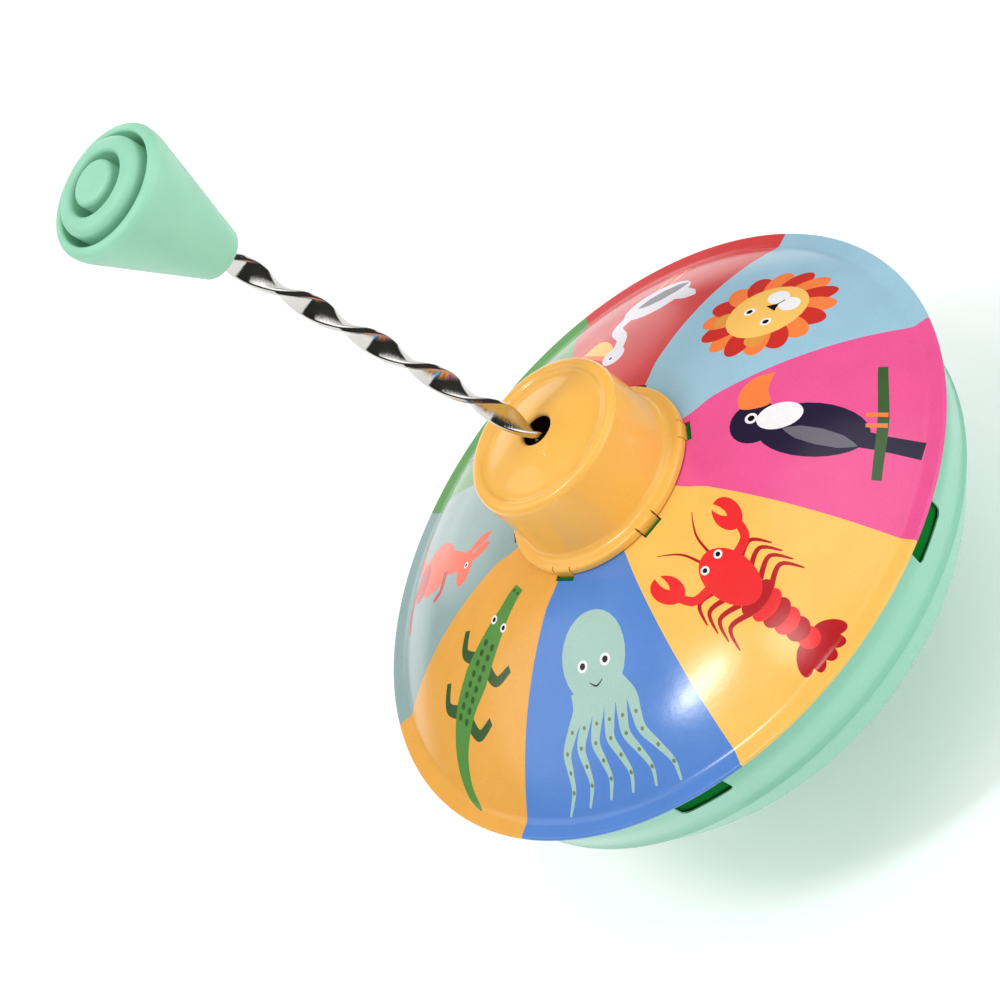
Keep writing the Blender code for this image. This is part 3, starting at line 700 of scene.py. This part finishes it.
def plan_mesh(outlines, holes, outer_radius, spacing):
    """Triangles over the dome's plan that follow every outline, as points and faces."""
    points = []
    edges = []

    def add_loop(loop):
        first = len(points)
        points.extend(loop)
        edges.extend((first + i, first + (i + 1) % len(loop)) for i in range(len(loop)))

    firsts = []
    for radius in ring_radii(outer_radius, spacing):
        firsts.append(len(points))
        if radius in (DOME_HOLE, outer_radius):
            add_loop(ring_points(radius))
        else:
            points.extend(ring_points(radius))
    for spoke in range(0, SIDES, SPOKES_PER_PANEL):
        for inner, outer in zip(firsts, firsts[1:]):
            edges.append((inner + spoke, outer + spoke))
    for outline in outlines + holes:
        add_loop(outline)
    result = delaunay_2d_cdt([Vector(p) for p in points], edges, [], 0, 1e-7, False)
    plan = np.array([tuple(v) for v in result[0]])
    faces = np.array([f for f in result[2] if len(f) == 3])
    middles = plan[faces].mean(axis=1)
    keep = np.hypot(*middles.T) > DOME_HOLE * cos(pi / SIDES)
    for hole in holes:
        keep &= ~inside(middles, hole)
    return plan, faces[keep], middles[keep]


def face_inks(middles, drawings):
    """The ink of each face: its panel's, then the last drawing outline that holds it."""
    names = list(INKS)
    angles = np.arctan2(middles[:, 1], middles[:, 0])
    panels = ((angles - FIRST_PANEL) % (2 * pi) // PANEL_TURN).astype(int)
    inks = np.array([names.index(PANELS[panel][0]) for panel in panels])
    for ink, outline in drawings:
        corners = np.array(outline)
        near = np.where((middles >= corners.min(0)).all(1) & (middles <= corners.max(0)).all(1))[0]
        hit = near[inside(middles[near], outline)]
        inks[hit] = names.index(ink)
    return inks


SKIN, UNDER, ROLL, WALL = range(4)


def roll_rows(outer_height):
    """Profile of the rolled rim, from the skin's end round the bead and back inside it."""
    centre = (RIM_RADIUS - BEAD, RIM_HEIGHT)
    inner = BEAD - SHEET
    outside = [(SKIN_END, outer_height)] + arc(centre, BEAD, BAND_ANGLE - 8, -90, 14)
    curl = [(centre[0] - 0.6 * MM, RIM_HEIGHT - BEAD), (centre[0] - 0.6 * MM, RIM_HEIGHT - inner)]
    inside_roll = arc(centre, inner, -90, BAND_ANGLE, 8)
    return outside + curl + inside_roll


def printed_dome(materials):
    drawings = []
    for number, (_, draw) in enumerate(PANELS):
        drawings += [(ink, on_panel(outline, number)) for ink, outline in draw()]
    slots = tab_slots()
    plan, faces, middles = plan_mesh([outline for _, outline in drawings], slots, SKIN_END,
                                    TOP_SPACING)
    inks = face_inks(middles, drawings)
    rows = roll_rows(skin_height(SKIN_END))
    under_radius = rows[-1][0]
    under_plan, under_faces, _ = plan_mesh([], slots, under_radius, UNDER_SPACING)

    bm = bmesh.new()
    group_layer = bm.faces.layers.int.new("group")
    ink_layer = bm.faces.layers.int.new("ink_number")

    def add_face(verts, group, ink):
        made = bm.faces.new(verts)
        made[group_layer] = group
        made[ink_layer] = ink
        made.smooth = True
        made.material_index = 1 if group == UNDER else 0

    top = [bm.verts.new((x, y, skin_height(hypot(x, y)))) for x, y in plan]
    under = []
    for x, y in under_plan:
        radius = hypot(x, y)
        thick = SHEET * sqrt(1 + skin_slope(min(max(radius, DOME_HOLE), SKIN_END)) ** 2)
        under.append(bm.verts.new((x, y, skin_height(radius) - thick)))
    for corners, ink in zip(faces, inks):
        add_face([top[i] for i in corners], SKIN, int(ink))
    for corners in under_faces:
        add_face([under[i] for i in corners[::-1]], UNDER, 0)

    def place(vert):
        return (round(vert.co.x / MM, 2), round(vert.co.y / MM, 2))

    below = {place(vert): vert for vert in under}
    ring = {}
    for edge in [e for e in bm.edges if len(e.link_faces) == 1]:
        owner = edge.link_faces[0]
        if owner[group_layer] != SKIN:
            continue
        a, b = edge.verts
        if min(hypot(*a.co.xy), hypot(*b.co.xy)) > SKIN_END - 0.1 * MM:
            for vert in (a, b):
                ring[spoke_number(vert.co)] = vert
            continue
        add_face([a, b, below[place(b)], below[place(a)]], WALL, owner[ink_layer])
    last = {}
    for vert in under:
        if hypot(*vert.co.xy) > under_radius - 0.05 * MM:
            last[spoke_number(vert.co)] = vert
    columns = []
    for step in range(SIDES):
        angle = spoke_angle(step)
        column = [ring[step]]
        for radius, height in rows[1:-1]:
            column.append(bm.verts.new((radius * cos(angle), radius * sin(angle), height)))
        column.append(last[step])
        columns.append(column)
    names = list(INKS)
    for step, column in enumerate(columns):
        ink = names.index(PANELS[step // SPOKES_PER_PANEL][0])
        following = columns[(step + 1) % SIDES]
        for row in range(len(rows) - 1):
            add_face([column[row], following[row], following[row + 1], column[row + 1]], ROLL, ink)
    for vert in bm.verts:
        slide_round(vert.co)
    bmesh.ops.recalc_face_normals(bm, faces=bm.faces)
    mesh = bpy.data.meshes.new("printed_dome")
    bm.to_mesh(mesh)
    bm.free()
    mesh.materials.append(materials["print"])
    mesh.materials.append(materials["bare_tin"])
    paint_faces(mesh)
    set_dome_normals(mesh)
    for extra in ("group", "ink_number"):
        mesh.attributes.remove(mesh.attributes[extra])
    return stand_for(new_object("printed_dome", mesh), "top_body", "printed_tin", "upper_shell")


def paint_faces(mesh):
    """Write each face's ink as a colour on its corners."""
    numbers = np.zeros(len(mesh.polygons), np.int32)
    mesh.attributes["ink_number"].data.foreach_get("value", numbers)
    counts = np.zeros(len(mesh.polygons), np.int32)
    mesh.polygons.foreach_get("loop_total", counts)
    table = np.array([(*linear(display), 1) for display in INKS.values()], np.float32)
    colours = np.repeat(table[numbers], counts, axis=0)
    ink = mesh.color_attributes.new("ink", "FLOAT_COLOR", "CORNER")
    ink.data.foreach_set("color", colours.ravel())


def set_dome_normals(mesh):
    """Exact normals of the dome and the roll, so that gloss doesn't show the triangles."""
    groups = mesh.attributes["group"].data
    centre = Vector((RIM_RADIUS - BEAD, RIM_HEIGHT))
    normals = [Vector((0, 0, 1))] * len(mesh.loops)
    for polygon in mesh.polygons:
        group = groups[polygon.index].value
        for loop in polygon.loop_indices:
            co = mesh.vertices[mesh.loops[loop].vertex_index].co
            radius = hypot(co.x, co.y)
            if group in (SKIN, UNDER):
                normal = skin_normal(co.x, co.y)
                if group == UNDER:
                    normal = -normal
            elif group == ROLL:
                off = Vector((radius - centre[0], co.z - centre[1]))
                normal = polygon.normal
                if abs(off.length - BEAD) < 0.05 * MM and off.x > -0.1 * MM:
                    off.normalize()
                    normal = Vector((off.x * co.x / radius, off.x * co.y / radius, off.y))
            else:
                normal = polygon.normal
            normals[loop] = normal
    mesh.normals_split_custom_set(normals)


# ---- mint shell ----

def lower_profile():
    """Outer surface from under the rim: slotted cone, rolled shoulder, bowl and foot flat."""
    band = in_mm([(89.2, -1.0), (88.9, -2.6), (88.05, -7.4), (86.75, -11.0), (85.45, -14.3), (84.1, -17.8)],
                 RIM_HEIGHT)
    roll = arc((SHOULDER[0] + 0.05 * MM, SHOULDER[1] + 0.4 * MM), 1.0 * MM, 14, -58, 10)
    bowl = arc(BOWL_CENTRE, BOWL_RADIUS, -25, -74, 26)
    foot_flat = 13.0 * MM
    bowl_end, bowl_low = bowl[-1]
    cone_low = bowl_low - (bowl_end - foot_flat) * tan(CONE_ANGLE)
    cone = [(bowl_end + (foot_flat - bowl_end) * step / 4, bowl_low + (cone_low - bowl_low) * step / 4)
            for step in range(1, 5)]
    return band + roll + bowl + cone + [(5.2 * MM, cone_low)]


def slot_outline():
    """An air slot seen square on: straight top and rounded lower corners, as (y, z)."""
    half, corner, top, low = 8.0 * MM, 1.8 * MM, -1.4 * MM, -9.1 * MM
    points = [(half, top), (-half, top)]
    points += arc((-half + corner, low + corner), corner, 180, 270, 8)
    points += arc((half - corner, low + corner), corner, 270, 360, 8)
    return points


def mint_shell(materials):
    rim = RIM_HEIGHT
    wall = lower_profile()
    flange_low = rim - BEAD
    flange_high = flange_low + SHEET
    inner = offset_inward(wall, SHEET)
    outline = ([(90.4 * MM, flange_low), (89.4 * MM, flange_low)] + wall + inner[::-1]
               + [(88.75 * MM, flange_high), (90.4 * MM, flange_high)])
    shell = finish_mesh("mint_shell", turned_bmesh(outline, SIDES), materials["mint_tin"])
    cutter = bmesh.new()
    for angle in around(pi / REPEATS):
        place = Matrix.Rotation(angle, 4, "Z")
        flat = [(80 * MM, y, rim + z) for y, z in slot_outline()]
        extruded(cutter, flat, (12 * MM, 0, 0), place)
    cut(shell, cutter)
    set_turned_normals(shell.data, wall)
    return stand_for(shell, "top_body", "mint_tin", "lower_shell")


def set_turned_normals(mesh, profile):
    """Exact normals for the faces that follow a turned profile; the others stay flat."""
    line = np.array(profile)
    along = np.diff(line, axis=0)
    lengths = np.hypot(*along.T)
    square = np.column_stack([-along[:, 1], along[:, 0]]) / lengths[:, None]
    at_points = np.vstack([square[:1], square[:-1] + square[1:], square[-1:]])
    at_points /= np.hypot(*at_points.T)[:, None]

    coords = np.zeros(len(mesh.vertices) * 3)
    mesh.vertices.foreach_get("co", coords)
    coords = coords.reshape(-1, 3)
    radii = np.hypot(coords[:, 0], coords[:, 1])
    spots = np.column_stack([radii, coords[:, 2]])
    share = ((spots[:, None] - line[:-1]) * along).sum(2) / lengths ** 2
    share = share.clip(0, 1)
    away = np.linalg.norm(spots[:, None] - line[:-1] - share[..., None] * along, axis=2)
    nearest = away.argmin(axis=1)
    part = share[np.arange(len(spots)), nearest][:, None]
    flat = at_points[nearest] * (1 - part) + at_points[nearest + 1] * part
    flat /= np.hypot(*flat.T)[:, None]
    outward = coords[:, :2] / radii[:, None]
    exact = np.column_stack([outward * flat[:, :1], flat[:, 1]])
    gap = away.min(axis=1)
    on_profile = (gap < 0.05 * MM, abs(gap - SHEET) < 0.08 * MM)

    normals = []
    for polygon in mesh.polygons:
        polygon.use_smooth = True
        own = np.array(polygon.normal)
        corners = list(polygon.vertices)
        turned = any(side[corners].all() for side in on_profile)
        for corner in corners:
            normal = exact[corner]
            normals.append(normal * (1 if normal @ own > 0 else -1) if turned else own)
    mesh.normals_split_custom_set(normals)


# ---- hub ----

def hub_profile():
    """Outer surface of the cap: lip of the hole, field, groove, bead, wall, fillet and flange."""
    rim = RIM_HEIGHT
    lip = arc((5.5 * MM, rim + 51.95 * MM), 1.0 * MM, 180, 78, 10)
    field = in_mm([(7.0, 52.84), (9.0, 52.55), (11.0, 52.15), (13.0, 51.62), (15.0, 50.98), (16.4, 50.42),
                   (17.6, 49.98), (18.5, 49.85), (19.2, 49.98)], rim)
    bead = arc((21.45 * MM, rim + 48.7 * MM), 2.2 * MM, 138, 0, 16)
    wall = in_mm([(23.70, 45.0), (23.80, 40.0), (23.92, 35.5), (24.02, 32.0)], rim)
    fillet = arc((26.45 * MM, rim + 30.6 * MM), 2.4 * MM, 185, 262, 10)
    edge = arc((27.1 * MM, rim + 27.1 * MM), 0.9 * MM, 78, 0, 6)
    return lip + field + bead + wall + fillet + edge + [(28.0 * MM, rim + 25.9 * MM)]


def hub_cap(materials):
    rim = RIM_HEIGHT
    outer = hub_profile()
    inner = offset_inward(outer, HUB_SHEET)
    cap = finish_mesh("pressed_hub", turned_bmesh(outer + inner[::-1], SIDES), materials["yellow_tin"])
    notches = bmesh.new()
    tabs = bmesh.new()
    outside, inside_edge, low, top = 27.95 * MM, 24.6 * MM, rim + 22.4 * MM, rim + 26.8 * MM
    side = [(outside, top), (outside - HUB_SHEET, top), (outside - HUB_SHEET, low + HUB_SHEET),
            (inside_edge, low + HUB_SHEET), (inside_edge, low), (outside, low)]
    for angle in around():
        place = Matrix.Rotation(angle, 4, "Z")
        for sign in (-1, 1):
            middle = sign * 3.05 * MM
            flat = [(x, middle - NOTCH / 2, z)
                    for x, z in in_mm([(26.9, 25), (28.6, 25), (28.6, 29), (26.9, 29)], rim)]
            extruded(notches, flat, (0, NOTCH, 0), place)
        extruded(tabs, [(x, -2.8 * MM, z) for x, z in side], (0, 5.6 * MM, 0), place)
    cut(cap, notches)
    cut(cap, tabs, "UNION")
    sharpen(cap)
    return stand_for(cap, "top_body", "yellow_tin", "hub_cap")


# ---- strip and handle ----

def joint(name):
    return next(item for item in frame["joints"] if item["name"] == name)


def strip_place():
    """Frame of the strip: origin at its pivot, Z up the strip, Y the axis it leans on."""
    z = Vector(joint("plunge")["axis"]).normalized()
    y = Vector(joint("spindle_lean")["axis"]).normalized()
    x = y.cross(z)
    place = Matrix((x, y, z)).transposed().to_4x4()
    place.translation = Vector(joint("spindle_lean")["pos_m"])
    return place


def strip_turn(height):
    return pi - 2 * pi * (height - STRIP_FACE_ON) / STRIP_LEAD


def strip_section():
    """Cross-section of the strip: flat faces with a slight crown and rounded edges."""
    half_width, half_thick = STRIP_WIDTH / 2, STRIP_THICKNESS / 2
    corner = 0.75 * MM
    points = []
    for centre_x, centre_y, start in ((half_width - corner, half_thick - corner, 0),
                                      (-half_width + corner, half_thick - corner, 90),
                                      (-half_width + corner, -half_thick + corner, 180),
                                      (half_width - corner, -half_thick + corner, 270)):
        points += arc((centre_x, centre_y), corner, start, start + 90, 5)
    return points


def twisted_strip(materials):
    section = strip_section()
    bm = bmesh.new()
    rings = []
    for step in range(STRIP_STEPS + 1):
        height = STRIP_LOW + (STRIP_HIGH - STRIP_LOW) * step / STRIP_STEPS
        turn = Matrix.Rotation(strip_turn(height), 4, "Z")
        rings.append([bm.verts.new(turn @ Vector((x, y, 0)) + Vector((0, 0, height))) for x, y in section])
    for lower, upper in zip(rings, rings[1:]):
        for i in range(len(section)):
            j = (i + 1) % len(section)
            bm.faces.new((lower[i], lower[j], upper[j], upper[i]))
    bm.faces.new(rings[0][::-1])
    bm.faces.new(rings[-1])
    strip = finish_mesh("twisted_strip", bm, materials["steel"], 50)
    neck = in_mm([(0, -13), (2.4, -13), (3.2, -12.5), (3.2, -11.6), (1.9, -11.6), (1.9, -4), (0, -4)])
    cut(strip, turned_bmesh(neck, 48), "UNION")
    sharpen(strip, 50)
    strip.matrix_world = strip_place()
    return stand_for(strip, "spindle", "bright_steel", "spindle")


def handle_profile():
    """Boss, ring and lip of the hollowed face, then the cone, rounded narrow end and bore."""
    top, low, bore = HANDLE_TOP, HANDLE_BOTTOM, 3.6 * MM
    boss = [(0, top)] + arc((4.9 * MM, top - 1.5 * MM), 1.5 * MM, 90, 0, 8)
    groove_1 = [(6.4 * MM, top - 13 * MM), (8.6 * MM, top - 13 * MM)]
    ring = arc((10.2 * MM, top - 2.3 * MM), 1.5 * MM, 175, 84, 8)
    ring += arc((10.8 * MM, top - 3.7 * MM), 2.8 * MM, 78, 0, 10)
    groove_2 = [(13.6 * MM, top - 5.0 * MM), (13.4 * MM, top - 12.5 * MM), (15.1 * MM, top - 12.5 * MM)]
    lip = arc((16.3 * MM, top - 4.8 * MM), 0.9 * MM, 175, 75, 6)
    lip += arc((HANDLE_RADIUS - 2.1 * MM, top - 6.1 * MM), 2.1 * MM, 66, 0, 8)
    cone = [(HANDLE_RADIUS - 0.08 * MM, top - 7.6 * MM), (HANDLE_RADIUS - 0.35 * MM, top - 9.0 * MM),
            (HANDLE_RADIUS - 0.9 * MM, top - 10.8 * MM)]
    end = arc((5.75 * MM, low + 1.35 * MM), 1.35 * MM, -17, -90, 8)
    inside_bore = [(bore + 0.4 * MM, low), (bore, low + 0.4 * MM), (bore, STRIP_HIGH + 0.6 * MM),
                   (0, STRIP_HIGH + 0.6 * MM)]
    return boss + groove_1 + ring + groove_2 + lip + cone + end + inside_bore


def handle(materials):
    grip = finish_mesh("grip_cone", turned_bmesh(handle_profile(), SMALL_SIDES), materials["mint"])
    grip.matrix_world = strip_place()
    return stand_for(grip, "spindle", "mint_plastic", "handle")


# ---- foot ----

def foot(materials):
    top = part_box("foot_ferrule")[1].z
    ferrule = in_mm([(2.75, 0), (11.2, 0), (11.6, -0.4), (11.6, -0.9), (11.2, -1.8), (8.6, -3.2),
                     (6.4, -4.6), (5.5, -5.7), (4.9, -6.8), (4.3, -7.4), (2.75, -7.4)], top)
    piece = finish_mesh("ferrule", turned_bmesh(ferrule, SMALL_SIDES), materials["mint"])
    stand_for(piece, "top_body", "mint_plastic", "foot_ferrule")
    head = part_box("foot_pin")[1].z
    nose = [(1.1 * MM + 1.3 * MM * sin(radians(turn)), 1.6 * MM * (1 - cos(radians(turn))))
            for turn in range(0, 91, 10)]
    pin = [(0, 0)] + nose + in_mm([(2.4, -1.2), (4.4, -1.2), (4.4, -0.6), (3.4, 0), (0, 0)], head)
    piece = finish_mesh("point_pin", turned_bmesh(pin, 64), materials["steel"])
    stand_for(piece, "top_body", "bright_steel", "foot_pin")


# ---- inside pieces ----

def dress_inside(materials):
    """The pieces inside keep their CAD meshes and get full materials."""
    looks = {"drive_housing": "green", "sound_plate": "green", "clutch_ring": "rubber",
             "drive_wheel": "nylon", "stop_bush": "nylon", "wheel_cover": "steel",
             "slot_plate": "steel", "anchor_pin": "steel", "foot_washer": "steel"}
    for number in (1, 2, 3):
        looks[f"cover_screw_{number}"] = "steel"
    for number in range(1, REPEATS + 1):
        looks[f"reed_{number}"] = "brass"
        looks[f"reed_rivet_{number}"] = "brass"
    for node, look in looks.items():
        mesh = frame["nodes"][node].data
        mesh.materials.clear()
        mesh.materials.append(materials[look])


# ---- stage ----

CAMERA_AZIMUTH = -57.33                           # in degrees, as are the next two
CAMERA_ELEVATION = 36.49
CAMERA_ROLL = -51.74
CAMERA_DISTANCE = 1.347
CAMERA_TARGET = Vector((-16.9 * MM, -10.8 * MM, 119.7 * MM))
CAMERA_LENS = 187.3


def toward(azimuth, elevation):
    """Unit vector for an azimuth and an elevation in degrees."""
    a, e = radians(azimuth), radians(elevation)
    return Vector((cos(e) * cos(a), cos(e) * sin(a), sin(e)))


def camera():
    """The photograph's view: it looks at a point beside the strip and is rolled about its own axis."""
    data = bpy.data.cameras.new("camera")
    data.sensor_width = 36
    data.lens = CAMERA_LENS
    data.clip_end = 20
    obj = new_object("camera", data)
    back = toward(CAMERA_AZIMUTH, CAMERA_ELEVATION)
    side = Vector((0, 0, 1)).cross(back).normalized()
    level = Matrix((side, back.cross(side), back)).transposed().to_4x4()
    place = level @ Matrix.Rotation(radians(CAMERA_ROLL), 4, "Z")
    place.translation = CAMERA_TARGET + back * CAMERA_DISTANCE
    obj.matrix_world = place
    bpy.context.scene.camera = obj


def area_light(name, azimuth, elevation, distance, size, brightness, length=None, along=90):
    """A soft light that faces the dome's middle; brightness is its surface's radiance.

    It is round unless a length is given, and the length then points along an azimuth.
    """
    length = length or size
    data = bpy.data.lights.new(name, "AREA")
    data.shape = "ELLIPSE"
    data.size = length
    data.size_y = size
    data.energy = brightness * pi * pi * size * length / 4
    obj = new_object(name, data)
    z = toward(azimuth, elevation)
    y = z.cross(toward(along, 0)).normalized()
    place = Matrix((y.cross(z), y, z)).transposed().to_4x4()
    place.translation = Vector((0, 0, RIM_HEIGHT)) + z * distance
    obj.matrix_world = place
    obj.visible_camera = False


def dark_card(name, corners):
    """A dark card that only shows in reflections, like an unlit room beside the table."""
    mesh = bpy.data.meshes.new(name)
    mesh.from_pydata(corners, [], [tuple(range(len(corners)))])
    mesh.materials.append(lacquer((0.02, 0.02, 0.02), name, 0.9, 0.01))
    card = new_object(name, mesh)
    card.visible_camera = False
    card.visible_diffuse = False
    card.visible_shadow = False


def dark_room():
    """A dark card upright in front, and one that lies on the table from the front to the right."""
    out = toward(-76, 0)
    side = Vector((-out.y, out.x, 0))
    upright = []
    for along, height in ((-1, 0.0), (1, 0.0), (1, 0.3), (-1, 0.3)):
        upright.append(out * 0.5 + side * 0.26 * along + Vector((0, 0, height)))
    dark_card("dark_front", upright)
    inner = [toward(azimuth, 0) * 0.11 for azimuth in range(-100, 61, 10)]
    outer = [toward(azimuth, 0) * 0.6 for azimuth in range(60, -101, -10)]
    dark_card("dark_table", [point + Vector((0, 0, 1 * MM)) for point in inner + outer])


def studio():
    scene = bpy.context.scene
    scene.view_settings.view_transform = "Standard"
    area_light("key", -130, 70, 1.6, 0.14, 42, 0.46, 22)
    area_light("window", -62, 71, 1.6, 0.2, 7.5, 0.38, -62)
    area_light("sky", 20, 60, 2.0, 1.6, 0.9)
    area_light("left", 170, 45, 1.8, 1.2, 1.1)
    area_light("right", -12, 4, 1.1, 1.1, 1.5)
    area_light("behind", 122, 10, 1.2, 0.8, 1.2)
    dark_room()
    world = bpy.data.worlds.new("studio")
    world.use_nodes = True
    scene.world = world
    tree = world.node_tree
    background = tree.nodes["Background"]
    background.inputs["Color"].default_value = (1, 1, 1, 1)
    path = tree.nodes.new("ShaderNodeLightPath")
    strength = ranged(tree, path.outputs["Is Glossy Ray"], 0.59, 0.05, 0, 1)
    tree.links.new(strength, background.inputs["Strength"])
    mesh = bpy.data.meshes.new("floor")
    mesh.from_pydata([(-4, -4, 0), (4, -4, 0), (4, 4, 0), (-4, 4, 0)], [], [(0, 1, 2, 3)])
    floor = new_object("floor", mesh)
    floor.location.z = -0.2 * MM
    # The floor glows faintly: painted light that pales the top's shadow on it and lights the top a little
    # from below.
    mesh.materials.append(lacquer((0.97, 0.97, 0.97), "floor_paper", 0.8, 0.01, glow=0.15))


# ---- make everything ----

camera()
studio()
LOOKS = make_materials()
printed_dome(LOOKS)
mint_shell(LOOKS)
hub_cap(LOOKS)
twisted_strip(LOOKS)
handle(LOOKS)
foot(LOOKS)
dress_inside(LOOKS)
